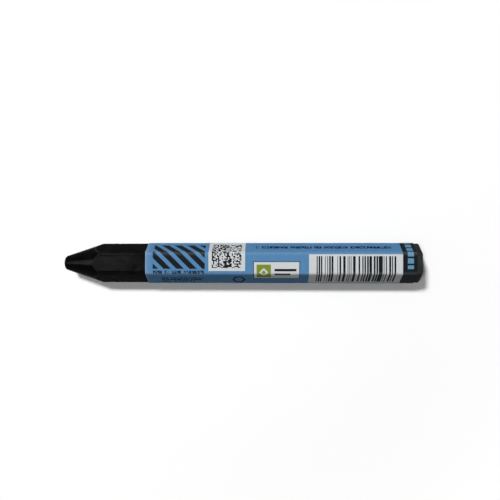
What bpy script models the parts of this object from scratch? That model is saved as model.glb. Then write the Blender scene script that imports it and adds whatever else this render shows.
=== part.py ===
"""Lumber crayon: a hexagonal stick of black marking wax with a turned point, in a glued paper label.

The crayon lies along X on one of its flats, with the point at -X and the square butt at +X.
The origin is under the middle of its length, on the surface that it lies on.
"""

import math

import bmesh
import bpy
from mathutils import Vector

MM = 0.001

# Marking stick: a cast hexagonal bar of wax
STICK_LENGTH = 120.0 * MM
STICK_ACROSS_FLATS = 11.8 * MM
STICK_CORNER_RADIUS = 1.0 * MM
BUTT_EDGE_RADIUS = 0.5 * MM

# Point: a cone turned on the bar, cut off blunt and rounded at its rim
POINT_HALF_ANGLE = math.radians(18.5)
TIP_RADIUS = 2.2 * MM
TIP_RIM_RADIUS = 1.2 * MM

# Label: one printed sheet of paper, wrapped once round the bar and lapped over its own first edge
BARE_POINT_LENGTH = 28.7 * MM
BARE_BUTT_LENGTH = 2.0 * MM
PAPER_THICKNESS = 0.1 * MM
LAP_WIDTH = 4.0 * MM
LAP_STEP_WIDTH = 0.8 * MM
GLUE_LINE = 0.05 * MM

# Fineness of the round stretches
FLATS = 6
CORNER_STEPS = 5
RIM_STEPS = 6
POINT_STEPS = 96
BUTT_STEPS = 3
SMOOTH_ANGLE = math.radians(20)
ROUND_BEVEL = 0.5

# How far the turned shape that cuts the point stands clear of the bar
TURNING_MARGIN = 2.0 * MM

WAX_BLACK = (0.010, 0.011, 0.0105, 1.0)
WAX_ROUGHNESS = 0.5
LABEL_BLUE = (0.110, 0.265, 0.480, 1.0)
LABEL_ROUGHNESS = 0.55

# Sizes that follow from those above
FLAT_TURN = 2 * math.pi / FLATS
APOTHEM = STICK_ACROSS_FLATS / 2
CORNER_TO_AXIS = APOTHEM / math.cos(FLAT_TURN / 2)
FLAT_WIDTH = 2 * (APOTHEM - STICK_CORNER_RADIUS) * math.tan(FLAT_TURN / 2)
CORNER_ARC = STICK_CORNER_RADIUS * FLAT_TURN
OUTLINE_LENGTH = FLATS * (FLAT_WIDTH + CORNER_ARC)
AXIS_HEIGHT = APOTHEM + GLUE_LINE + PAPER_THICKNESS
LABEL_LENGTH = STICK_LENGTH - BARE_POINT_LENGTH - BARE_BUTT_LENGTH

# The lap lies two flats round from the top one, out of sight from above
SEAM_FLAT_ANGLE = math.pi / 2 - 2 * FLAT_TURN


def clear_scene():
    """Empties the scene that the script runs in."""
    for old in list(bpy.data.objects):
        bpy.data.objects.remove(old)


def make_material(name, colour, roughness):
    """A plain surface of one colour."""
    material = bpy.data.materials.new(name)
    material.use_nodes = True
    shader = material.node_tree.nodes["Principled BSDF"]
    shader.inputs["Base Color"].default_value = colour
    shader.inputs["Roughness"].default_value = roughness
    shader.inputs["Metallic"].default_value = 0.0
    return material


def add_object(name, bm, axis, material=None):
    """Turns a bmesh into a named object on the crayon's axis, shaded smooth except at its corners."""
    mesh = bpy.data.meshes.new(name)
    bm.to_mesh(mesh)
    bm.free()
    mesh.shade_smooth()
    mesh.set_sharp_from_angle(angle=SMOOTH_ANGLE)
    obj = bpy.data.objects.new(name, mesh)
    bpy.context.scene.collection.objects.link(obj)
    obj.parent = axis
    if material:
        mesh.materials.append(material)
    return obj


def extruded_points(extrusion):
    """The points that an extrude has just made."""
    return [item for item in extrusion["geom"] if isinstance(item, bmesh.types.BMVert)]


def outline_point(run):
    """(place, outward normal) in the YZ plane at this run along the bar's outline.

    The run starts where the seam's flat starts, and may go on past one whole turn.
    """
    sides, rest = divmod(run, FLAT_WIDTH + CORNER_ARC)
    angle = SEAM_FLAT_ANGLE + sides * FLAT_TURN
    facing = Vector((0.0, math.cos(angle), math.sin(angle)))
    across = Vector((0.0, -math.sin(angle), math.cos(angle)))
    along = min(rest, FLAT_WIDTH) - FLAT_WIDTH / 2
    turned = max(rest - FLAT_WIDTH, 0.0) / STICK_CORNER_RADIUS
    normal = facing * math.cos(turned) + across * math.sin(turned)
    corner_centre = facing * (APOTHEM - STICK_CORNER_RADIUS) + across * along
    return corner_centre + normal * STICK_CORNER_RADIUS, normal


def corner_runs():
    """The runs of one turn at which the outline bends, round each corner in steps."""
    runs = []
    for side in range(FLATS):
        corner_start = side * (FLAT_WIDTH + CORNER_ARC) + FLAT_WIDTH
        runs += [corner_start + CORNER_ARC * step / CORNER_STEPS for step in range(CORNER_STEPS + 1)]
    return runs


def shape_bar():
    """The hexagonal bar before its point is turned, with the edge of its butt rounded."""
    bm = bmesh.new()
    profile = bm.faces.new([bm.verts.new(outline_point(run)[0]) for run in corner_runs()])
    butt = extruded_points(bmesh.ops.extrude_face_region(bm, geom=[profile]))
    bmesh.ops.translate(bm, verts=butt, vec=(STICK_LENGTH, 0.0, 0.0))
    bmesh.ops.recalc_face_normals(bm, faces=bm.faces)
    bmesh.ops.bevel(
        bm,
        geom=[edge for edge in bm.edges if all(point in butt for point in edge.verts)],
        offset=BUTT_EDGE_RADIUS,
        segments=BUTT_STEPS,
        profile=ROUND_BEVEL,
        affect="EDGES",
    )
    return bm


def point_profile():
    """(distance from the tip, radius) round the tip's rim, up the cone and on past the bar's butt."""
    slope = math.tan(POINT_HALF_ANGLE)
    rim_centre_radius = TIP_RADIUS + TIP_RIM_RADIUS * (slope - 1 / math.cos(POINT_HALF_ANGLE))
    rim_sweep = math.pi / 2 - POINT_HALF_ANGLE
    profile = []
    for step in range(RIM_STEPS + 1):
        angle = math.pi - rim_sweep * step / RIM_STEPS
        distance = TIP_RIM_RADIUS + TIP_RIM_RADIUS * math.cos(angle)
        profile.append((distance, rim_centre_radius + TIP_RIM_RADIUS * math.sin(angle)))
    wide_radius = CORNER_TO_AXIS + TURNING_MARGIN
    profile.append(((wide_radius - TIP_RADIUS) / slope, wide_radius))
    profile.append((STICK_LENGTH + TURNING_MARGIN, wide_radius))
    return profile


def shape_turning():
    """The round shape that turning leaves: a blunt cone that widens until it clears the bar."""
    bm = bmesh.new()
    rings = []
    for distance, radius in point_profile():
        ring = bmesh.ops.create_circle(bm, segments=POINT_STEPS, radius=radius)["verts"]
        for point in ring:
            point.co = (distance, point.co.x, point.co.y)
        rings.append(ring)
    for ring, following in zip(rings, rings[1:]):
        for step in range(POINT_STEPS):
            bm.faces.new((ring[step - 1], ring[step], following[step], following[step - 1]))
    bm.faces.new(rings[0])
    bm.faces.new(rings[-1])
    bmesh.ops.recalc_face_normals(bm, faces=bm.faces)
    return bm


def make_marking_stick(axis):
    """The bar with the cone turned on it, so that each flat ends in a curved scallop."""
    wax = make_material("black_marking_wax", WAX_BLACK, WAX_ROUGHNESS)
    stick = add_object("marking_stick", shape_bar(), axis, wax)
    turning = add_object("point_turning", shape_turning(), axis)
    turning.hide_render = True
    turning.display_type = "WIRE"
    cut = stick.modifiers.new("turned_point", "BOOLEAN")
    cut.operation = "INTERSECT"
    cut.solver = "EXACT"
    cut.object = turning
    stick.modifiers.new("flat_facets", "WEIGHTED_NORMAL")
    return stick


def label_stations():
    """(run, distance from the bar) along the glued face of the sheet, in the order that it is wrapped.

    It goes once round on the glue line, steps up over its own first edge and ends after the lap.
    """
    first_edge = LAP_STEP_WIDTH + 2 * GLUE_LINE
    step_top = OUTLINE_LENGTH + first_edge - GLUE_LINE
    last_edge = OUTLINE_LENGTH + first_edge + LAP_WIDTH
    lapped = GLUE_LINE + PAPER_THICKNESS + GLUE_LINE
    corners = corner_runs()
    stations = [(first_edge, GLUE_LINE)]
    stations += [(run, GLUE_LINE) for run in corners if run > first_edge]
    stations += [(step_top - LAP_STEP_WIDTH, GLUE_LINE), (step_top, lapped)]
    next_turn = [run + OUTLINE_LENGTH for run in corners]
    stations += [(run, lapped) for run in next_turn if step_top < run < last_edge]
    return stations + [(last_edge, lapped)]


def shape_label():
    """The glued face of the sheet as it lies round the bar, facing outwards."""
    bm = bmesh.new()
    cut_edge = []
    for run, distance in label_stations():
        place, normal = outline_point(run)
        cut_edge.append(bm.verts.new(place + normal * distance))
    bmesh.ops.translate(bm, verts=cut_edge, vec=(BARE_POINT_LENGTH, 0.0, 0.0))
    wrapped = [bm.edges.new(pair) for pair in zip(cut_edge, cut_edge[1:])]
    far_edge = extruded_points(bmesh.ops.extrude_edge_only(bm, edges=wrapped))
    bmesh.ops.translate(bm, verts=far_edge, vec=(LABEL_LENGTH, 0.0, 0.0))
    bm.normal_update()
    for face in bm.faces:
        middle = face.calc_center_median()
        if face.normal.dot(Vector((0.0, middle.y, middle.z))) < 0:
            face.normal_flip()
    return bm


def make_paper_label(axis):
    """The wrapped sheet, with the paper's thickness standing outwards from its glued face."""
    paper = make_material("printed_label_paper", LABEL_BLUE, LABEL_ROUGHNESS)
    label = add_object("paper_label", shape_label(), axis, paper)
    thickness = label.modifiers.new("paper_thickness", "SOLIDIFY")
    thickness.thickness = PAPER_THICKNESS
    thickness.offset = 1.0
    thickness.use_even_offset = True
    return label


def main():
    clear_scene()
    axis = bpy.data.objects.new("crayon_axis", None)
    bpy.context.scene.collection.objects.link(axis)
    axis.location = (-STICK_LENGTH / 2, 0.0, AXIS_HEIGHT)
    make_marking_stick(axis)
    make_paper_label(axis)


main()
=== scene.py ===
"""Looks of the lumber crayon: a cast stick of black marking wax in a printed paper label.

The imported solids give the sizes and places. The stick and the label are modelled again over them, fine
enough for soft edges, dents and the lap of the paper, and get their materials, light and camera here.
"""

import math

import bmesh
import bpy
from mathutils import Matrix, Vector


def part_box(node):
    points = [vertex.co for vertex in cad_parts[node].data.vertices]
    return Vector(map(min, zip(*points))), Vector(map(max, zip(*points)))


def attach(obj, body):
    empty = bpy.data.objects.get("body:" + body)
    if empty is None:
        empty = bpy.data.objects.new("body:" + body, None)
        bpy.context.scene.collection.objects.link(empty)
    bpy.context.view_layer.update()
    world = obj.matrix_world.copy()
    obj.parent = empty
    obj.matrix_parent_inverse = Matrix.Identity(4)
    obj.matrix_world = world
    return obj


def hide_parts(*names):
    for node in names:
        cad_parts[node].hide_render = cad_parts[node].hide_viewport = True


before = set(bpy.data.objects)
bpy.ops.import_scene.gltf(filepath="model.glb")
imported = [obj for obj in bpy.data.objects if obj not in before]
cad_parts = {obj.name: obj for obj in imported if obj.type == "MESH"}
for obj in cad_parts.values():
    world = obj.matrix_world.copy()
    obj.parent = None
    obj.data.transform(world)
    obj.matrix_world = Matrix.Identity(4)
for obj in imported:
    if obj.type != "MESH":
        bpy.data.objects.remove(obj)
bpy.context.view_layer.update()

MM = 0.001

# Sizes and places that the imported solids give
STICK_LOW, STICK_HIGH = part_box("marking_stick")
LABEL_LOW, LABEL_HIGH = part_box("paper_label")
STICK_LENGTH = STICK_HIGH.x - STICK_LOW.x
STICK_MIDDLE_X = (STICK_HIGH.x + STICK_LOW.x) / 2
APOTHEM = (STICK_HIGH.z - STICK_LOW.z) / 2
AXIS_Z = (STICK_HIGH.z + STICK_LOW.z) / 2
LABEL_LENGTH = LABEL_HIGH.x - LABEL_LOW.x

# Sizes of the crayon's forms, the same as in the solids
CORNER_RADIUS = 1.0 * MM
BUTT_EDGE_RADIUS = 0.5 * MM
POINT_HALF_ANGLE = math.radians(18.5)
TIP_RADIUS = 2.2 * MM
TIP_RIM_RADIUS = 1.2 * MM
PAPER_THICKNESS = 0.1 * MM
GLUE_LINE = LABEL_HIGH.z - STICK_HIGH.z - PAPER_THICKNESS
LAP_WIDTH = 4.0 * MM
LAP_STEP_WIDTH = 0.8 * MM

# Sizes that follow from those above
FLATS = 6
FLAT_TURN = 2 * math.pi / FLATS
CORNER_TO_AXIS = APOTHEM / math.cos(FLAT_TURN / 2)
FLAT_WIDTH = 2 * (APOTHEM - CORNER_RADIUS) * math.tan(FLAT_TURN / 2)
TOUCHING = 0.001 * MM


def linear(hex_colour):
    """The linear RGBA that an sRGB hex colour stands for."""
    channels = [int(hex_colour[place : place + 2], 16) / 255 for place in (1, 3, 5)]
    return (*[c / 12.92 if c <= 0.04045 else ((c + 0.055) / 1.055) ** 2.4 for c in channels], 1.0)


# Modelling helpers


def start_piece(name):
    """Names the primitive that was just added and sets its place in its mesh."""
    piece = bpy.context.object
    piece.name = name
    piece.data.name = name
    bpy.ops.object.transform_apply(location=True, rotation=True, scale=True)
    return piece


def only(piece):
    """Makes this piece the only selected one, and the active one."""
    bpy.ops.object.select_all(action="DESELECT")
    piece.select_set(True)
    bpy.context.view_layer.objects.active = piece


def select_parts(piece, kind, wanted):
    """In edit mode, selects only the points, edges or faces that wanted() picks."""
    bpy.ops.mesh.select_mode(type=kind)
    bpy.ops.mesh.select_all(action="DESELECT")
    bm = bmesh.from_edit_mesh(piece.data)
    parts = {"VERT": bm.verts, "EDGE": bm.edges, "FACE": bm.faces}[kind]
    for part in parts:
        part.select_set(wanted(part))
    bm.select_flush_mode()
    bmesh.update_edit_mesh(piece.data)


def apply_modifier(piece, kind, **settings):
    """Adds a modifier with these settings and applies it."""
    only(piece)
    modifier = piece.modifiers.new(kind.lower(), kind)
    for setting, value in settings.items():
        setattr(modifier, setting, value)
    bpy.ops.object.modifier_apply(modifier=modifier.name)


def cloud_texture(name, size):
    """Soft bumps of about this size, for a Displace modifier."""
    texture = bpy.data.textures.new(name, "CLOUDS")
    texture.noise_scale = size
    return texture


def at_x(edge, x):
    """True for an edge that lies in the cross-section at x."""
    return all(abs(point.co.x - x) < TOUCHING for point in edge.verts)


# Wax stick

# Fineness of the round stretches
CORNER_STEPS = 6
BUTT_EDGE_STEPS = 4
RIM_STEPS = 6
TURNING_STEPS = 128

# How far the turned shape that cuts the point stands clear of the bar
TURNING_MARGIN = 2.0 * MM

# Softness of cast wax: how fine its mesh is, how far and how often it is smoothed, and how it sags
VOXEL = 0.25 * MM
SOFTENING = 0.5
SOFTENING_PASSES = 2
WAX_SAG = 0.03 * MM
WAX_SAG_SIZE = 3.5 * MM

# How far the flats are on the way to a round bar, and the cuts round the bar that let them bend
FLAT_CROWN = 0.03
CROWN_CUTS = 18

# Shallow dents in the bare wax: place along the stick from the tip, turn from the top, depth, radius
DENTS = (
    (14.4 * MM, -0.12, 0.02 * MM, 1.5 * MM),
    (14.0 * MM, 0.10, 0.02 * MM, 1.3 * MM),
    (17.3 * MM, 0.14, 0.015 * MM, 2.0 * MM),
    (21.5 * MM, -0.20, 0.03 * MM, 1.8 * MM),
    (25.5 * MM, 0.25, 0.03 * MM, 1.5 * MM),
    (8.0 * MM, 0.9, 0.05 * MM, 1.2 * MM),
    (17.5 * MM, 1.05, 0.08 * MM, 1.2 * MM),
    (19.0 * MM, -1.57, 0.05 * MM, 0.9 * MM),
    (23.0 * MM, 2.1, 0.07 * MM, 1.5 * MM),
    (11.5 * MM, -2.4, 0.08 * MM, 1.0 * MM),
    (119.6 * MM, 0.55, 0.14 * MM, 0.8 * MM),
    (119.7 * MM, -1.1, 0.10 * MM, 0.7 * MM),
)


def model_bar():
    """A hexagonal bar on its flat, with rounded corners, a rounded butt edge and faintly crowned flats."""
    bpy.ops.object.select_all(action="DESELECT")
    bpy.ops.mesh.primitive_cylinder_add(vertices=FLATS, radius=CORNER_TO_AXIS, depth=STICK_LENGTH)
    bar = start_piece("wax_stick")
    bpy.ops.object.mode_set(mode="EDIT")
    select_parts(bar, "EDGE", lambda edge: edge.calc_length() > STICK_LENGTH - TOUCHING)
    bpy.ops.mesh.bevel(offset=CORNER_RADIUS * math.tan(FLAT_TURN / 2), segments=CORNER_STEPS)
    butt = STICK_LENGTH / 2 - TOUCHING
    select_parts(bar, "EDGE", lambda edge: min(point.co.z for point in edge.verts) > butt)
    bpy.ops.mesh.bevel(offset=BUTT_EDGE_RADIUS, segments=BUTT_EDGE_STEPS)
    for cut in range(CROWN_CUTS):
        turn = math.pi * cut / CROWN_CUTS
        bpy.ops.mesh.select_all(action="SELECT")
        bpy.ops.mesh.bisect(plane_co=(0, 0, 0), plane_no=(math.cos(turn), math.sin(turn), 0))
    bpy.ops.object.mode_set(mode="OBJECT")
    apply_modifier(
        bar,
        "CAST",
        cast_type="CYLINDER",
        factor=FLAT_CROWN,
        use_radius_as_size=False,
        size=APOTHEM,
    )
    bar.rotation_euler = (0, math.pi / 2, 0)
    bar.location = (STICK_MIDDLE_X, 0, AXIS_Z)
    bpy.ops.object.transform_apply(location=True, rotation=True, scale=True)
    return bar


def model_turning():
    """The blunt cone that the point is turned to, widened until it clears the bar and drawn past its butt."""
    wide_radius = CORNER_TO_AXIS + TURNING_MARGIN
    cone_length = (wide_radius - TIP_RADIUS) / math.tan(POINT_HALF_ANGLE)
    bpy.ops.object.select_all(action="DESELECT")
    bpy.ops.mesh.primitive_cone_add(
        vertices=TURNING_STEPS,
        radius1=wide_radius,
        radius2=TIP_RADIUS,
        depth=cone_length,
        location=(STICK_LOW.x + cone_length / 2, 0, AXIS_Z),
        rotation=(0, -math.pi / 2, 0),
    )
    turning = start_piece("point_turning")
    wide_x = STICK_LOW.x + cone_length
    bpy.ops.object.mode_set(mode="EDIT")
    select_parts(turning, "EDGE", lambda edge: at_x(edge, STICK_LOW.x))
    rim_setback = TIP_RIM_RADIUS * math.tan((math.pi / 2 - POINT_HALF_ANGLE) / 2)
    bpy.ops.mesh.bevel(offset=rim_setback, segments=RIM_STEPS)
    select_parts(turning, "FACE", lambda face: abs(face.calc_center_median().x - wide_x) < TOUCHING)
    bpy.ops.mesh.extrude_region_move(TRANSFORM_OT_translate={"value": (STICK_LENGTH, 0, 0)})
    bpy.ops.object.mode_set(mode="OBJECT")
    return turning


def press_dents(stick):
    """Presses the small dents of handling into the bare wax, each with a soft rim."""
    bpy.ops.object.mode_set(mode="EDIT")
    for along, turn, depth, radius in DENTS:
        outward = Vector((0, -math.sin(turn), math.cos(turn)))
        place = Vector((STICK_LOW.x + along, 0, AXIS_Z))
        bm = bmesh.from_edit_mesh(stick.data)
        near = [p for p in bm.verts if abs(p.co.x - place.x) < VOXEL and (p.co - place).dot(outward) > 0]
        deepest = min(near, key=lambda point: (point.co - place).cross(outward).length)
        select_parts(stick, "VERT", lambda point: point == deepest)
        bpy.ops.transform.translate(
            value=-outward * depth,
            use_proportional_edit=True,
            proportional_edit_falloff="SMOOTH",
            proportional_size=radius,
        )
    bpy.ops.object.mode_set(mode="OBJECT")


def model_wax_stick():
    """The bar with its point turned, then softened all over as cast wax is."""
    stick = model_bar()
    turning = model_turning()
    apply_modifier(stick, "BOOLEAN", operation="INTERSECT", solver="EXACT", object=turning)
    bpy.data.objects.remove(turning)
    apply_modifier(stick, "REMESH", mode="VOXEL", voxel_size=VOXEL)
    apply_modifier(stick, "SMOOTH", factor=SOFTENING, iterations=SOFTENING_PASSES)
    sag = cloud_texture("wax_sag", WAX_SAG_SIZE)
    apply_modifier(stick, "DISPLACE", texture=sag, strength=WAX_SAG, mid_level=1.0, texture_coords="LOCAL")
    press_dents(stick)
    only(stick)
    bpy.ops.object.shade_smooth()
    return stick


# Printed label

FOLD_STEPS = 5
FOLD_CHORD = 2 * (CORNER_RADIUS + GLUE_LINE) * math.sin(FLAT_TURN / FOLD_STEPS / 2)
FOLD_WIDTH = FOLD_STEPS * FOLD_CHORD
SIDE_PITCH = FLAT_WIDTH + FOLD_WIDTH
LAP_RISE = GLUE_LINE + PAPER_THICKNESS
LAP_STEP_RUN = math.hypot(LAP_STEP_WIDTH, LAP_RISE)
FIRST_EDGE = LAP_STEP_WIDTH + 2 * GLUE_LINE

# The corners that the sheet runs over at +Y and at -Y, and how far it reaches, from the upper flat's middle
CORNERS_PLUS = 2
CORNERS_MINUS = 4
SHEET_PLUS = FLAT_WIDTH / 2 + CORNERS_PLUS * SIDE_PITCH - FIRST_EDGE
STEP_START = FLAT_WIDTH / 2 + (CORNERS_MINUS - 1) * SIDE_PITCH + FOLD_WIDTH + GLUE_LINE
SHEET_MINUS = STEP_START + LAP_STEP_RUN + GLUE_LINE + LAP_WIDTH

# Fineness of the sheet along the stick and across each flat, and the angle past which it shades sharp
SHEET_STEPS = 90
FLAT_CUTS = (-0.25, 0, 0.25)
CREASE_ANGLE = math.radians(30)

PAPER_WAVE = 0.03 * MM
PAPER_WAVE_SIZE = 6 * MM


def corner_folds(corners):
    """(distance from the upper flat's middle, angle) of each small bend over this many corners."""
    folds = []
    for corner in range(corners):
        start = FLAT_WIDTH / 2 + corner * SIDE_PITCH
        for step in range(FOLD_STEPS + 1):
            share = 0.5 if step in (0, FOLD_STEPS) else 1.0
            folds.append((start + step * FOLD_CHORD, share * FLAT_TURN / FOLD_STEPS))
    return folds


def lap_folds():
    """(distance, angle) of the two bends that lift the sheet over its own first edge."""
    rise = math.asin(LAP_RISE / LAP_STEP_RUN)
    return [(STEP_START, -rise), (STEP_START + LAP_STEP_RUN, rise)]


def flat_sheet():
    """The label as a flat sheet on the upper flat, cut along every line that it will bend at."""
    bpy.ops.object.select_all(action="DESELECT")
    bpy.ops.mesh.primitive_grid_add(x_subdivisions=SHEET_STEPS, y_subdivisions=1, size=1)
    bpy.ops.transform.resize(value=(LABEL_LENGTH, SHEET_PLUS + SHEET_MINUS, 1))
    middle_x = (LABEL_LOW.x + LABEL_HIGH.x) / 2
    middle_y = (SHEET_PLUS - SHEET_MINUS) / 2
    bpy.ops.transform.translate(value=(middle_x, middle_y, AXIS_Z + APOTHEM + GLUE_LINE))
    sheet = start_piece("printed_label")
    lines = [distance for distance, _ in corner_folds(CORNERS_PLUS)]
    lines += [-distance for distance, _ in corner_folds(CORNERS_MINUS) + lap_folds()]
    for side in range(-CORNERS_MINUS, CORNERS_PLUS + 1):
        lines += [side * SIDE_PITCH + part * FLAT_WIDTH for part in FLAT_CUTS]
    bpy.ops.object.mode_set(mode="EDIT")
    for line in lines:
        bpy.ops.mesh.select_all(action="SELECT")
        bpy.ops.mesh.bisect(plane_co=(0, line, 0), plane_no=(0, 1, 0))
    bpy.ops.object.mode_set(mode="OBJECT")
    return sheet


def note_flat_places(sheet):
    """Keeps each point's flat place: its distance for the folding, and the print map in millimetres."""
    distance = sheet.data.attributes.new("flat_distance", "FLOAT", "POINT")
    distance.data.foreach_set("value", [point.co.y for point in sheet.data.vertices])
    print_map = sheet.data.uv_layers[0]
    print_map.name = "print_mm"
    for loop in sheet.data.loops:
        place = sheet.data.vertices[loop.vertex_index].co
        print_map.data[loop.index].uv = ((place.x - LABEL_LOW.x) / MM, place.y / MM)


def fold(sheet, distance, angle, side):
    """Turns all of the sheet past this line down about it, on the side given as 1 or -1."""
    bm = bmesh.from_edit_mesh(sheet.data)
    flat = bm.verts.layers.float["flat_distance"]
    crease = min(bm.verts, key=lambda point: abs(side * point[flat] - distance)).co.copy()
    select_parts(sheet, "VERT", lambda point: side * point[flat] > distance + TOUCHING)
    bpy.ops.transform.rotate(value=side * angle, orient_axis="X", center_override=crease)


def model_printed_label(print_side, bare_side):
    """The sheet folded round the stick corner by corner, lapped over its first edge and made thick."""
    sheet = flat_sheet()
    note_flat_places(sheet)
    bpy.ops.object.mode_set(mode="EDIT")
    for distance, angle in corner_folds(CORNERS_PLUS):
        fold(sheet, distance, angle, 1)
    for distance, angle in corner_folds(CORNERS_MINUS) + lap_folds():
        fold(sheet, distance, angle, -1)
    bpy.ops.object.mode_set(mode="OBJECT")
    sheet.data.attributes.remove(sheet.data.attributes["flat_distance"])
    wave = cloud_texture("paper_wave", PAPER_WAVE_SIZE)
    apply_modifier(
        sheet,
        "DISPLACE",
        texture=wave,
        strength=PAPER_WAVE,
        mid_level=1.0,
        texture_coords="LOCAL",
    )
    sheet.data.materials.append(print_side)
    sheet.data.materials.append(bare_side)
    apply_modifier(
        sheet,
        "SOLIDIFY",
        thickness=PAPER_THICKNESS,
        offset=1.0,
        use_even_offset=True,
        material_offset=1,
        material_offset_rim=1,
    )
    only(sheet)
    bpy.ops.object.shade_smooth_by_angle(angle=CREASE_ANGLE)
    return sheet


# Materials


def add_node(material, kind, links=None, **settings):
    """Adds a node: links sets its inputs by name or number, from a value or another node's output."""
    tree = material.node_tree
    node = tree.nodes.new(kind)
    for setting, value in settings.items():
        setattr(node, setting, value)
    for name, value in (links or {}).items():
        if isinstance(value, bpy.types.NodeSocket):
            tree.links.new(value, node.inputs[name])
        else:
            node.inputs[name].default_value = value
    return node


def new_material(name):
    """An empty node material and its shader, already on the output."""
    material = bpy.data.materials.new(name)
    material.use_nodes = True
    material.node_tree.nodes.clear()
    shader = add_node(material, "ShaderNodeBsdfPrincipled")
    add_node(material, "ShaderNodeOutputMaterial", {"Surface": shader.outputs["BSDF"]})
    return material, shader


# The stretch of a noise's values, from 0 to 1, that nearly all of it lies in
NOISE_SPREAD = (0.3, 0.7)

# Wax: sizes in millimetres. The real grain is finer, and is drawn coarser so that it shows.
WAX_GRAIN = 0.4
WAX_MOTTLE = 4.5
DRAG_LINE_WIDTH = 0.5
DRAG_LINE_LENGTH = 25.0
TURNING_RING = 0.45
PIT_SPACING = 1.7
PIT_RADIUS = 0.16
PIT_FLOOR_RADIUS = 0.08
WAX_RELIEF = 0.008
CONE_EDGE = (0.05, 0.25)
# Distances from the butt over which the wax turns paler, scuffed and with a painted sheen
SCUFF_AND_SHEEN_REACH = (2.6, 1.9)
# Width of the paler edges, which are partly wear and partly a painted highlight
WEAR_AND_HIGHLIGHT_WIDTH = 0.2

# Wax: strengths of its marks as shares, and its finish
LINE_HEIGHT = 0.8
PIT_HEIGHT = 0.8
BLOOM_SPREAD = (0.35, 0.75)
# Least share of the paler butt colour, which is scuffing with a painted sheen
SCUFF_AND_SHEEN_LEAST = 0.6
# Share of the paler edge colour on the bar's corners: wear with a painted highlight
CORNER_WEAR_AND_HIGHLIGHT = 0.3
WAX_ROUGHNESS = (0.13, 0.19)
WAX_IOR = 1.44
WAX_GLOSS = 0.007
WAX_BLACK = "#060706"
WAX_BLOOM = "#0c0e0d"
# Paler colour of the edges: wear with a painted highlight
WAX_WEAR_AND_HIGHLIGHT = "#3a3c3b"
# Paler colour of the butt: scuffing with a painted sheen
WAX_SCUFF_AND_SHEEN = "#373938"


def from_axis(material, from_tip):
    """Distance from the stick's axis in millimetres."""
    across = add_node(material, "ShaderNodeVectorMath", {0: from_tip, 1: (0, 1, 1)}, operation="MULTIPLY")
    distance = add_node(material, "ShaderNodeVectorMath", {0: across.outputs[0]}, operation="LENGTH")
    return distance.outputs["Value"]


def turned_cone(material, from_tip):
    """Mask: 1 on the turned cone, 0 on the flats of the bar."""
    x = add_node(material, "ShaderNodeSeparateXYZ", {0: from_tip}).outputs["X"]
    cone_radius = add_node(
        material,
        "ShaderNodeMath",
        {0: x, 1: math.tan(POINT_HALF_ANGLE), 2: TIP_RADIUS / MM},
        operation="MULTIPLY_ADD",
    )
    below_cone = add_node(
        material,
        "ShaderNodeMath",
        {0: cone_radius.outputs[0], 1: from_axis(material, from_tip)},
        operation="SUBTRACT",
    )
    return add_node(
        material,
        "ShaderNodeMapRange",
        {
            "Value": below_cone.outputs[0],
            "From Min": CONE_EDGE[0],
            "From Max": CONE_EDGE[1],
            "To Min": 1.0,
            "To Max": 0.0,
        },
    ).outputs[0]


def edge_wear_and_painted_highlight(material, from_tip, turned):
    """Mask of the paler edges, partly rubbed wear and partly a painted highlight: round the scallops, and
    more faintly along the bar's corners.
    """
    reach = 0.0
    for side in range(FLATS // 2):
        turn = math.pi / 2 + side * FLAT_TURN
        facing = (0, math.cos(turn), math.sin(turn))
        along = add_node(material, "ShaderNodeVectorMath", {0: from_tip, 1: facing}, operation="DOT_PRODUCT")
        away = add_node(material, "ShaderNodeMath", {0: along.outputs["Value"]}, operation="ABSOLUTE")
        farthest = add_node(material, "ShaderNodeMath", {0: reach, 1: away.outputs[0]}, operation="MAXIMUM")
        reach = farthest.outputs[0]
    at_flat = add_node(
        material,
        "ShaderNodeMapRange",
        {"Value": reach, "From Min": APOTHEM / MM - WEAR_AND_HIGHLIGHT_WIDTH, "From Max": APOTHEM / MM},
    )
    corner_top = CORNER_TO_AXIS - CORNER_RADIUS / math.cos(FLAT_TURN / 2) + CORNER_RADIUS
    at_corner = add_node(
        material,
        "ShaderNodeMapRange",
        {
            "Value": from_axis(material, from_tip),
            "From Min": corner_top / MM - WEAR_AND_HIGHLIGHT_WIDTH,
            "From Max": corner_top / MM,
            "To Max": CORNER_WEAR_AND_HIGHLIGHT,
        },
    )
    at_scallop = overlap(material, at_flat.outputs[0], turned)
    return add_node(
        material,
        "ShaderNodeMath",
        {0: at_scallop, 1: at_corner.outputs[0]},
        operation="MAXIMUM",
    ).outputs[0]


def turned_or_drawn_lines(material, from_tip, turned):
    """Fine lines of the making: rings round the turned cone, drag lines along the flats of the bar."""
    x = add_node(material, "ShaderNodeSeparateXYZ", {0: from_tip}).outputs["X"]
    rings = add_node(
        material,
        "ShaderNodeTexNoise",
        {"W": x, "Scale": 1 / TURNING_RING, "Detail": 2.0},
        noise_dimensions="1D",
    )
    stretched = add_node(
        material,
        "ShaderNodeVectorMath",
        {0: from_tip, 1: (1 / DRAG_LINE_LENGTH, 1 / DRAG_LINE_WIDTH, 1 / DRAG_LINE_WIDTH)},
        operation="MULTIPLY",
    )
    drags = add_node(
        material,
        "ShaderNodeTexNoise",
        {"Vector": stretched.outputs[0], "Scale": 1.0, "Detail": 3.0},
    )
    return add_node(
        material,
        "ShaderNodeMix",
        {"Factor": turned, "A": drags.outputs[0], "B": rings.outputs[0]},
    ).outputs[0]


def wax_pits(material, from_tip):
    """Height of the small air pits in cast wax: 0 in a pit, 1 outside."""
    spots = add_node(material, "ShaderNodeTexVoronoi", {"Vector": from_tip, "Scale": 1 / PIT_SPACING})
    return add_node(
        material,
        "ShaderNodeMapRange",
        {
            "Value": spots.outputs["Distance"],
            "From Min": PIT_FLOOR_RADIUS / PIT_SPACING,
            "From Max": PIT_RADIUS / PIT_SPACING,
        },
        interpolation_type="SMOOTHSTEP",
    ).outputs[0]


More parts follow.
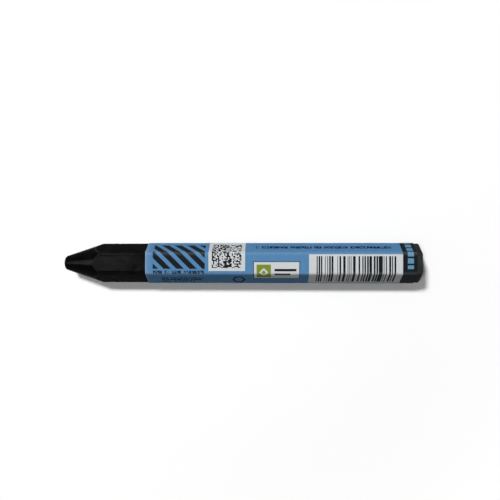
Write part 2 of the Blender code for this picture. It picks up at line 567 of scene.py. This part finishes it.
def butt_scuff_and_sheen(material, from_tip, bloom):
    """Mask of the butt, paler unevenly: partly scuffed wax, partly a painted sheen."""
    x = add_node(material, "ShaderNodeSeparateXYZ", {0: from_tip}).outputs["X"]
    from_butt = add_node(material, "ShaderNodeMath", {0: STICK_LENGTH / MM, 1: x}, operation="SUBTRACT")
    scuff_and_sheen = add_node(
        material,
        "ShaderNodeMapRange",
        {"Value": from_butt.outputs[0], "From Min": SCUFF_AND_SHEEN_REACH[0], "From Max": SCUFF_AND_SHEEN_REACH[1]},
    )
    uneven = add_node(material, "ShaderNodeMapRange", {"Value": bloom, "To Min": SCUFF_AND_SHEEN_LEAST})
    return overlap(material, scuff_and_sheen.outputs[0], uneven.outputs[0])


def wax_colour(material, from_tip, turned):
    """Black with a patchy bloom, paler on the edges from wear and a painted highlight, and paler at the butt
    from scuffing and a painted sheen.
    """
    mottle = add_node(
        material,
        "ShaderNodeTexNoise",
        {"Vector": from_tip, "Scale": 1 / WAX_MOTTLE, "Detail": 3.0},
    ).outputs[0]
    bloom = add_node(
        material,
        "ShaderNodeMapRange",
        {"Value": mottle, "From Min": BLOOM_SPREAD[0], "From Max": BLOOM_SPREAD[1]},
        interpolation_type="SMOOTHSTEP",
    ).outputs[0]
    # Paler edges: wear with a painted highlight, broken up by the mottle
    wear_and_highlight = overlap(material, edge_wear_and_painted_highlight(material, from_tip, turned), mottle)
    # Paler butt: scuffing with a painted sheen
    scuff_and_sheen = butt_scuff_and_sheen(material, from_tip, bloom)
    colour = linear(WAX_BLACK)
    for mask, paler in ((bloom, WAX_BLOOM), (wear_and_highlight, WAX_WEAR_AND_HIGHLIGHT), (scuff_and_sheen, WAX_SCUFF_AND_SHEEN)):
        colour = add_node(
            material,
            "ShaderNodeMix",
            {"Factor": mask, "A": colour, "B": linear(paler)},
            data_type="RGBA",
        ).outputs["Result"]
    return colour


def wax_relief(material, from_tip, lines):
    """Height of the fine lines, the grain and the pits together."""
    grain = add_node(
        material,
        "ShaderNodeTexNoise",
        {"Vector": from_tip, "Scale": 1 / WAX_GRAIN, "Detail": 4.0},
    )
    lined = add_node(
        material,
        "ShaderNodeMath",
        {0: lines, 1: LINE_HEIGHT, 2: grain.outputs[0]},
        operation="MULTIPLY_ADD",
    )
    return add_node(
        material,
        "ShaderNodeMath",
        {0: wax_pits(material, from_tip), 1: PIT_HEIGHT, 2: lined.outputs[0]},
        operation="MULTIPLY_ADD",
    ).outputs[0]


def wax_material():
    """Black marking wax, cast and turned: dull black with a soft sheen, faint bloom, fine lines and pits."""
    material, shader = new_material("black_marking_wax_cast_and_turned")
    place = add_node(material, "ShaderNodeTexCoord").outputs["Object"]
    from_tip = add_node(
        material,
        "ShaderNodeMapping",
        {
            "Vector": place,
            "Location": (-STICK_LOW.x / MM, 0, -AXIS_Z / MM),
            "Scale": (1 / MM, 1 / MM, 1 / MM),
        },
    ).outputs[0]
    turned = turned_cone(material, from_tip)
    lines = turned_or_drawn_lines(material, from_tip, turned)
    bump = add_node(
        material,
        "ShaderNodeBump",
        {"Height": wax_relief(material, from_tip, lines), "Distance": WAX_RELIEF * MM, "Strength": 1.0},
    )
    roughness = add_node(
        material,
        "ShaderNodeMapRange",
        {
            "Value": lines,
            "From Min": NOISE_SPREAD[0],
            "From Max": NOISE_SPREAD[1],
            "To Min": WAX_ROUGHNESS[0],
            "To Max": WAX_ROUGHNESS[1],
        },
    )
    tree = material.node_tree
    tree.links.new(wax_colour(material, from_tip, turned), shader.inputs["Base Color"])
    tree.links.new(roughness.outputs[0], shader.inputs["Roughness"])
    tree.links.new(bump.outputs[0], shader.inputs["Normal"])
    shader.inputs["IOR"].default_value = WAX_IOR
    shader.inputs["Specular IOR Level"].default_value = WAX_GLOSS
    return material


# Print: places on the flat sheet in millimetres, along it from the point end and round it from the
# middle of the upper flat
STRIPE_BLOCK = ((2.5, 19.8), (-1.8, 8.2))
SMALL_LINES = (
    ((2.6, 19.6), (-3.5, -2.4)),
    ((36.6, 81.5), (6.1, 7.6)),
)
FINE_LINES = (
    ((5.0, 20.0), (-6.6, -5.9)),
    ((5.0, 18.5), (-7.7, -7.0)),
    ((5.0, 16.0), (-8.8, -8.1)),
)
CELL_PANEL = ((21.0, 33.1), (-2.5, 9.9))
CELL_FIELD = ((22.1, 31.9), (-1.5, 8.7))
HEXAGON_CENTRE = (30.9, -7.2)
DIAMOND_PANEL = ((36.0, 50.9), (-6.2, 0.45))
DIAMOND_SQUARE = ((36.9, 41.6), (-5.5, -0.4))
DIAMOND_LINES = (
    ((42.8, 50.0), (-2.6, -1.8)),
    ((42.8, 48.0), (-4.1, -3.3)),
)
END_BAND_START = 84.65
END_BLOCKS = ((86.2, 88.2), (-1.8, 9.6))
BAR_PANEL = ((54.1, END_BAND_START), (-9.7, 3.0))
BAR_FIELD = ((56.4, 82.6), (-8.6, 2.4))

# Print: sizes of its forms in millimetres. The small strokes and cells are drawn coarse enough to show.
STRIPE_PERIOD = 4.3
STRIPE_WIDTH = 2.5
LETTER_PITCH = 0.8
STROKE_WIDTH = 0.27
STROKE_HEIGHT = 0.5
CELL_SIDE = 0.41
HEXAGON_REACH = 2.0
HEXAGON_LINE = 0.65
PANEL_OUTLINE = 0.22
DIAMOND_REACH = 1.5
DIAMOND_HEART = 0.7
BAR_PITCH = 1.0
BAR_WIDTHS = (0.2, 0.8)
BAR_DRIFT = 1.8
BAR_DRIFT_LENGTH = 2.5
END_BLOCK_PERIOD = 2.3
END_BLOCK_WIDTH = 1.7
CUT_EDGE = 0.2
EDGE_FADE = 1.8
FOLD_RUB = 0.9
RUB_PATCH = 2.9
PAPER_GRAIN = 0.25
INK_MOTTLE = 1.2
PAPER_RELIEF = 0.006

# Print: shares that are inked or rubbed, and the number that the random words start from
CELL_SHARE = 0.5
STROKE_SHARE = 0.7
LETTER_SHARE = 0.84
WORD_SEED = 50.0
FOLD_RUBBED = 0.14
EDGE_RUBBED = 0.14

# Print: inks, finish and the bare paper
BLUE_INK = ("#4c7aa5", "#5a8ab4")
BLACK_INK = "#1a1f23"
NAVY_INK = "#15243a"
GREEN_INK = "#788b2b"
LIGHT_BLUE_INK = "#5f8fae"
UNPRINTED = "#cacdcf"
CUT_EDGE_BLUE = "#7fa3c6"
RUBBED_INK = "#c3cbd2"
PRINT_ROUGHNESS = (0.50, 0.58)
PRINT_IOR = 1.5
PRINT_GLOSS = 0.02
BARE_PAPER = ("#bdb9b0", "#dcdad4")
BARE_PAPER_ROUGHNESS = 0.8


def span(material, value, low, high):
    """Mask: 1 where the value lies between these bounds."""
    return add_node(
        material,
        "ShaderNodeMath",
        {0: value, 1: (low + high) / 2, 2: (high - low) / 2},
        operation="COMPARE",
    ).outputs[0]


def overlap(material, mask, other):
    """Mask: 1 where both masks are."""
    return add_node(material, "ShaderNodeMath", {0: mask, 1: other}, operation="MULTIPLY").outputs[0]


def patch(material, place, bounds):
    """Mask of a rectangle on the sheet."""
    masks = [span(material, value, *limits) for value, limits in zip(place, bounds)]
    return overlap(material, *masks)


def random_steps(material, value, step, seed, share):
    """Mask of steps along the value, of which this share is inked at random."""
    stepped = add_node(material, "ShaderNodeMath", {0: value, 1: step}, operation="SNAP")
    seeded = add_node(material, "ShaderNodeMath", {0: stepped.outputs[0], 1: seed}, operation="ADD")
    chance = add_node(material, "ShaderNodeTexWhiteNoise", {"W": seeded.outputs[0]}, noise_dimensions="1D")
    return add_node(
        material,
        "ShaderNodeMath",
        {0: chance.outputs["Value"], 1: share},
        operation="LESS_THAN",
    ).outputs[0]


def random_cells(material, print_map, width, height, share):
    """Mask of cells of this size, of which this share is inked at random."""
    stepped = add_node(
        material,
        "ShaderNodeVectorMath",
        {0: print_map, 1: (width, height, 1)},
        operation="SNAP",
    )
    chance = add_node(
        material,
        "ShaderNodeTexWhiteNoise",
        {"Vector": stepped.outputs[0]},
        noise_dimensions="2D",
    )
    return add_node(
        material,
        "ShaderNodeMath",
        {0: chance.outputs["Value"], 1: share},
        operation="LESS_THAN",
    ).outputs[0]


def repeats(material, value, period, inked):
    """Mask of stripes across the value: this much of each period is inked."""
    within = add_node(material, "ShaderNodeMath", {0: value, 1: period}, operation="FLOORED_MODULO")
    return add_node(
        material,
        "ShaderNodeMath",
        {0: within.outputs[0], 1: inked},
        operation="LESS_THAN",
    ).outputs[0]


def uneven_bars(material, u):
    """Mask of upright bars, each of another width, at a spacing that drifts a little."""
    drift = add_node(
        material,
        "ShaderNodeTexNoise",
        {"W": u, "Scale": 1 / BAR_DRIFT_LENGTH, "Detail": 0.0},
        noise_dimensions="1D",
    )
    drifted = add_node(
        material,
        "ShaderNodeMath",
        {0: drift.outputs[0], 1: BAR_DRIFT, 2: u},
        operation="MULTIPLY_ADD",
    ).outputs[0]
    bar = add_node(material, "ShaderNodeMath", {0: drifted, 1: BAR_PITCH}, operation="SNAP")
    chance = add_node(material, "ShaderNodeTexWhiteNoise", {"W": bar.outputs[0]}, noise_dimensions="1D")
    width = add_node(
        material,
        "ShaderNodeMapRange",
        {"Value": chance.outputs["Value"], "To Min": BAR_WIDTHS[0], "To Max": BAR_WIDTHS[1]},
    )
    within = add_node(material, "ShaderNodeMath", {0: drifted, 1: BAR_PITCH}, operation="FLOORED_MODULO")
    return add_node(
        material,
        "ShaderNodeMath",
        {0: within.outputs[0], 1: width.outputs[0]},
        operation="LESS_THAN",
    ).outputs[0]


def small_print(material, print_map, place, bounds, seed):
    """Mask of a line of small print too fine to read: random strokes, with gaps as between words."""
    line = patch(material, place, bounds)
    strokes = random_cells(material, print_map, STROKE_WIDTH, STROKE_HEIGHT, STROKE_SHARE)
    words = random_steps(material, place[0], LETTER_PITCH, seed, LETTER_SHARE)
    return overlap(material, line, overlap(material, strokes, words))


def from_centre(material, place, centre):
    """How far each of the two values is from a centre."""
    distances = []
    for value, middle in zip(place, centre):
        gap = add_node(material, "ShaderNodeMath", {0: value, 1: middle}, operation="SUBTRACT")
        distance = add_node(material, "ShaderNodeMath", {0: gap.outputs[0]}, operation="ABSOLUTE")
        distances.append(distance.outputs[0])
    return distances


def diamond(material, place, bounds, reach):
    """Mask of a square on its corner in the middle of a patch."""
    u, v = from_centre(material, place, [sum(limits) / 2 for limits in bounds])
    total = add_node(material, "ShaderNodeMath", {0: u, 1: v}, operation="ADD")
    return span(material, total.outputs[0], -reach, reach)


def hexagon_mark(material, place):
    """Mask of a plain outlined hexagon."""
    u, v = from_centre(material, place, HEXAGON_CENTRE)
    side_turn = math.pi / 6
    along_u = add_node(material, "ShaderNodeMath", {0: u, 1: math.cos(side_turn)}, operation="MULTIPLY")
    slanted = add_node(
        material,
        "ShaderNodeMath",
        {0: v, 1: math.sin(side_turn), 2: along_u.outputs[0]},
        operation="MULTIPLY_ADD",
    )
    reach = add_node(material, "ShaderNodeMath", {0: slanted.outputs[0], 1: v}, operation="MAXIMUM")
    return span(material, reach.outputs[0], HEXAGON_REACH - HEXAGON_LINE, HEXAGON_REACH)


def print_layers(material, print_map):
    """(mask, ink) of each printed form, from the lowest to the topmost."""
    parts = add_node(material, "ShaderNodeSeparateXYZ", {0: print_map})
    place = (parts.outputs["X"], parts.outputs["Y"])
    u, v = place
    slanting = add_node(material, "ShaderNodeMath", {0: u, 1: v}, operation="ADD").outputs[0]
    stripes = repeats(material, slanting, STRIPE_PERIOD, STRIPE_WIDTH)
    cells = random_cells(material, print_map, CELL_SIDE, CELL_SIDE, CELL_SHARE)
    blocks = repeats(material, v, END_BLOCK_PERIOD, END_BLOCK_WIDTH)
    outlined = [(low - PANEL_OUTLINE, high + PANEL_OUTLINE) for low, high in DIAMOND_PANEL]
    layers = [
        (overlap(material, patch(material, place, STRIPE_BLOCK), stripes), BLACK_INK),
        (patch(material, place, CELL_PANEL), UNPRINTED),
        (overlap(material, patch(material, place, CELL_FIELD), cells), BLACK_INK),
        (hexagon_mark(material, place), NAVY_INK),
        (patch(material, place, outlined), NAVY_INK),
        (patch(material, place, DIAMOND_PANEL), UNPRINTED),
        (patch(material, place, DIAMOND_SQUARE), GREEN_INK),
        (diamond(material, place, DIAMOND_SQUARE, DIAMOND_REACH), UNPRINTED),
        (diamond(material, place, DIAMOND_SQUARE, DIAMOND_HEART), GREEN_INK),
        (patch(material, place, BAR_PANEL), UNPRINTED),
        (overlap(material, patch(material, place, BAR_FIELD), uneven_bars(material, u)), BLACK_INK),
        (span(material, u, END_BAND_START, LABEL_LENGTH / MM + CUT_EDGE), BLACK_INK),
        (overlap(material, patch(material, place, END_BLOCKS), blocks), LIGHT_BLUE_INK),
        (span(material, u, -CUT_EDGE, CUT_EDGE), CUT_EDGE_BLUE),
    ]
    layers += [(patch(material, place, bounds), BLACK_INK) for bounds in DIAMOND_LINES]
    for seed, bounds in enumerate(SMALL_LINES + FINE_LINES):
        layers.append((small_print(material, print_map, place, bounds, WORD_SEED + seed), NAVY_INK))
    return layers


def rubbed_places(material, print_map):
    """How far the ink is rubbed thin: in patches along the folds, and towards the edge at the point."""
    parts = add_node(material, "ShaderNodeSeparateXYZ", {0: print_map}).outputs
    half_side = SIDE_PITCH / MM / 2
    from_fold = add_node(material, "ShaderNodeMath", {0: parts["Y"], 1: half_side}, operation="SUBTRACT")
    fold_gap = add_node(
        material,
        "ShaderNodeMath",
        {0: from_fold.outputs[0], 1: half_side},
        operation="PINGPONG",
    )
    patches = add_node(
        material,
        "ShaderNodeTexNoise",
        {"Vector": print_map, "Scale": 1 / RUB_PATCH, "Detail": 4.0},
    )
    at_fold = add_node(
        material,
        "ShaderNodeMapRange",
        {"Value": fold_gap.outputs[0], "From Max": FOLD_RUB, "To Min": FOLD_RUBBED, "To Max": 0.0},
    )
    at_edge = add_node(
        material,
        "ShaderNodeMapRange",
        {"Value": parts["X"], "From Max": EDGE_FADE, "To Min": EDGE_RUBBED, "To Max": 0.0},
    )
    on_folds = overlap(material, at_fold.outputs[0], patches.outputs[0])
    rubbed = add_node(material, "ShaderNodeMath", {0: on_folds, 1: at_edge.outputs[0]}, operation="ADD")
    return rubbed.outputs[0]


def print_material():
    """Coated label paper, offset printed: even inks with a soft gloss, paler where the folds are rubbed."""
    material, shader = new_material("coated_label_paper_offset_printed")
    print_map = add_node(material, "ShaderNodeUVMap", uv_map="print_mm").outputs[0]
    mottle = add_node(
        material,
        "ShaderNodeTexNoise",
        {"Vector": print_map, "Scale": 1 / INK_MOTTLE, "Detail": 4.0},
    )
    ink = add_node(
        material,
        "ShaderNodeMix",
        {"Factor": mottle.outputs[0], "A": linear(BLUE_INK[0]), "B": linear(BLUE_INK[1])},
        data_type="RGBA",
    ).outputs["Result"]
    for mask, colour in print_layers(material, print_map):
        ink = add_node(
            material,
            "ShaderNodeMix",
            {"Factor": mask, "A": ink, "B": linear(colour)},
            data_type="RGBA",
        ).outputs["Result"]
    rubbed = add_node(
        material,
        "ShaderNodeMix",
        {"Factor": rubbed_places(material, print_map), "A": ink, "B": linear(RUBBED_INK)},
        data_type="RGBA",
    )
    fibres = add_node(
        material,
        "ShaderNodeTexNoise",
        {"Vector": print_map, "Scale": 1 / PAPER_GRAIN, "Detail": 3.0},
    )
    bump = add_node(
        material,
        "ShaderNodeBump",
        {"Height": fibres.outputs[0], "Distance": PAPER_RELIEF * MM, "Strength": 1.0},
    )
    roughness = add_node(
        material,
        "ShaderNodeMapRange",
        {
            "Value": fibres.outputs[0],
            "From Min": NOISE_SPREAD[0],
            "From Max": NOISE_SPREAD[1],
            "To Min": PRINT_ROUGHNESS[0],
            "To Max": PRINT_ROUGHNESS[1],
        },
    )
    tree = material.node_tree
    tree.links.new(rubbed.outputs["Result"], shader.inputs["Base Color"])
    tree.links.new(roughness.outputs[0], shader.inputs["Roughness"])
    tree.links.new(bump.outputs[0], shader.inputs["Normal"])
    shader.inputs["IOR"].default_value = PRINT_IOR
    shader.inputs["Specular IOR Level"].default_value = PRINT_GLOSS
    return material


def paper_material():
    """Bare label paper: the white stock that shows at its cut edges and on its glued side."""
    material, shader = new_material("label_paper_bare_stock")
    place = add_node(material, "ShaderNodeTexCoord").outputs["Object"]
    fibres = add_node(
        material,
        "ShaderNodeTexNoise",
        {"Vector": place, "Scale": 1 / (PAPER_GRAIN * MM), "Detail": 3.0},
    )
    colour = add_node(
        material,
        "ShaderNodeMix",
        {"Factor": fibres.outputs[0], "A": linear(BARE_PAPER[0]), "B": linear(BARE_PAPER[1])},
        data_type="RGBA",
    )
    material.node_tree.links.new(colour.outputs["Result"], shader.inputs["Base Color"])
    shader.inputs["Roughness"].default_value = BARE_PAPER_ROUGHNESS
    return material


# Studio and camera

CAMERA_TO_AXIS = 190 * MM
CAMERA_CLIP = 10 * MM
SENSOR_MM = 36.0

# Where the photograph has the crayon, in pixels: the columns of its tip and its butt, its axis's row,
# and the columns that the camera stands over and aims at
IMAGE_SIDE = 500
TIP_PIXEL = 65.2
BUTT_PIXEL = 418.6
AXIS_PIXEL_ROW = 263.0
CAMERA_PIXEL_COLUMN = 270.0
AIM_PIXEL_COLUMN = 251.4

# Lamps, in metres: all stand this far from the crayon
LAMP_DISTANCE = 2.0

# Floor, in metres: its side, and the distances from the middle between which it goes over into white
FLOOR_SIDE = 6.0
FLOOR_FADE = (0.066, 0.115)

# Greys that the floor and the room throw back on the crayon, and the white that they look
FLOOR_BOUNCE = "#595959"
ROOM_FILL = "#5c5c5c"
WHITE = "#ffffff"

# How high the room's white walls show in reflections: sines of the angles where they fade out
WALL_TOP = (0.15, 0.26)


def add_camera():
    """The photograph's view: from above on the crayon, with its point to the left.

    The label's edges curve more at the point than at the butt, so the camera stood nearer to the butt. It
    leans a little towards the point to frame the crayon as the photograph does.
    """
    pixels_per_metre = (BUTT_PIXEL - TIP_PIXEL) / STICK_LENGTH
    data = bpy.data.cameras.new("camera")
    data.sensor_width = SENSOR_MM
    data.lens = SENSOR_MM * CAMERA_TO_AXIS * pixels_per_metre / IMAGE_SIDE
    data.clip_start = CAMERA_CLIP
    camera = bpy.data.objects.new("camera", data)
    bpy.context.scene.collection.objects.link(camera)
    middle_pixel = (BUTT_PIXEL + TIP_PIXEL) / 2
    camera.location = (
        STICK_MIDDLE_X + (CAMERA_PIXEL_COLUMN - middle_pixel) / pixels_per_metre,
        (AXIS_PIXEL_ROW - IMAGE_SIDE / 2) / pixels_per_metre,
        AXIS_Z + CAMERA_TO_AXIS,
    )
    aim_offset = (CAMERA_PIXEL_COLUMN - AIM_PIXEL_COLUMN) / pixels_per_metre
    camera.rotation_euler = (0, math.atan(aim_offset / CAMERA_TO_AXIS), 0)
    bpy.context.scene.camera = camera


def add_softbox(name, lean_back, lean_left, size, level, gloss_only=False):
    """A soft light over the crayon, leaning so many degrees back and to the left.

    At level 1 it alone lights a white surface that faces it to white, unless it is there for gloss only:
    then it shows in reflections and throws no light or shadow besides.
    """
    data = bpy.data.lights.new(name, "AREA")
    data.shape = "RECTANGLE"
    data.size, data.size_y = size
    data.energy = level * (math.pi * LAMP_DISTANCE) ** 2
    light = bpy.data.objects.new(name, data)
    bpy.context.scene.collection.objects.link(light)
    light.rotation_euler = (-math.radians(lean_back), -math.radians(lean_left), 0)
    towards_light = light.rotation_euler.to_matrix() @ Vector((0, 0, 1))
    light.location = Vector((STICK_MIDDLE_X, 0, AXIS_Z)) + LAMP_DISTANCE * towards_light
    light.visible_diffuse = not gloss_only


def seen_directly(material):
    """Mask: 1 for what the camera sees, directly, in a reflection or through something."""
    path = add_node(material, "ShaderNodeLightPath").outputs
    seen = add_node(
        material,
        "ShaderNodeMath",
        {0: path["Is Camera Ray"], 1: path["Is Glossy Ray"]},
        operation="ADD",
    )
    return add_node(
        material,
        "ShaderNodeMath",
        {0: seen.outputs[0], 1: path["Is Transmission Ray"]},
        operation="ADD",
        use_clamp=True,
    ).outputs[0]


def add_floor():
    """A plain white floor, which keeps the shadow and goes over into a white backdrop further out.

    It throws back only as much light as leaves the crayon's sides as deep as in the photo.
    """
    bpy.ops.object.select_all(action="DESELECT")
    bpy.ops.mesh.primitive_plane_add(size=FLOOR_SIDE)
    floor = start_piece("floor")
    material = bpy.data.materials.new("matt_white_floor")
    material.use_nodes = True
    material.node_tree.nodes.clear()
    seen = seen_directly(material)
    colour = add_node(
        material,
        "ShaderNodeMix",
        {"Factor": seen, "A": linear(FLOOR_BOUNCE), "B": linear(WHITE)},
        data_type="RGBA",
    )
    surface = add_node(material, "ShaderNodeBsdfDiffuse", {"Color": colour.outputs["Result"]})
    backdrop = add_node(material, "ShaderNodeEmission", {"Color": linear(WHITE)})
    place = add_node(material, "ShaderNodeTexCoord").outputs["Object"]
    distance = add_node(material, "ShaderNodeVectorMath", {0: place}, operation="LENGTH")
    faded = add_node(
        material,
        "ShaderNodeMapRange",
        {"Value": distance.outputs["Value"], "From Min": FLOOR_FADE[0], "From Max": FLOOR_FADE[1]},
    )
    share = overlap(material, seen, faded.outputs[0])
    mixed = add_node(
        material,
        "ShaderNodeMixShader",
        {0: share, 1: surface.outputs[0], 2: backdrop.outputs[0]},
    )
    add_node(material, "ShaderNodeOutputMaterial", {"Surface": mixed.outputs[0]})
    floor.data.materials.append(material)


def add_world():
    """White all round for the camera, in reflections only low walls under a dim ceiling, and a dim fill."""
    world = bpy.data.worlds.new("studio")
    bpy.context.scene.world = world
    world.use_nodes = True
    world.node_tree.nodes.clear()
    direction = add_node(world, "ShaderNodeTexCoord").outputs["Generated"]
    height = add_node(world, "ShaderNodeSeparateXYZ", {0: direction}).outputs["Z"]
    wall = add_node(
        world,
        "ShaderNodeMapRange",
        {"Value": height, "From Min": WALL_TOP[0], "From Max": WALL_TOP[1], "To Min": 1.0, "To Max": 0.0},
    )
    camera_ray = add_node(world, "ShaderNodeLightPath").outputs["Is Camera Ray"]
    shown = add_node(world, "ShaderNodeMath", {0: wall.outputs[0], 1: camera_ray}, operation="MAXIMUM")
    seen_wall = overlap(world, seen_directly(world), shown.outputs[0])
    colour = add_node(
        world,
        "ShaderNodeMix",
        {"Factor": seen_wall, "A": linear(ROOM_FILL), "B": linear(WHITE)},
        data_type="RGBA",
    )
    sky = add_node(world, "ShaderNodeBackground", {"Color": colour.outputs["Result"]})
    add_node(world, "ShaderNodeOutputWorld", {"Surface": sky.outputs[0]})


def main():
    """Makes the two pieces, hides the solids they stand in for, and sets up the studio."""
    stick = model_wax_stick()
    stick.data.materials.append(wax_material())
    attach(stick, "root")
    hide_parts("marking_stick")

    label = model_printed_label(print_material(), paper_material())
    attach(label, "root")
    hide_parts("paper_label")

    add_floor()
    add_world()
    add_softbox("key_softbox", lean_back=25, lean_left=20, size=(0.28, 0.28), level=0.885)
    add_softbox("overhead_softbox", lean_back=-1.3, lean_left=17.5, size=(0.24, 0.2), level=0.175)
    add_softbox("left_softbox", lean_back=4, lean_left=55, size=(0.2, 0.9), level=0.74, gloss_only=True)
    add_camera()
    bpy.context.scene.view_settings.view_transform = "Standard"


main()
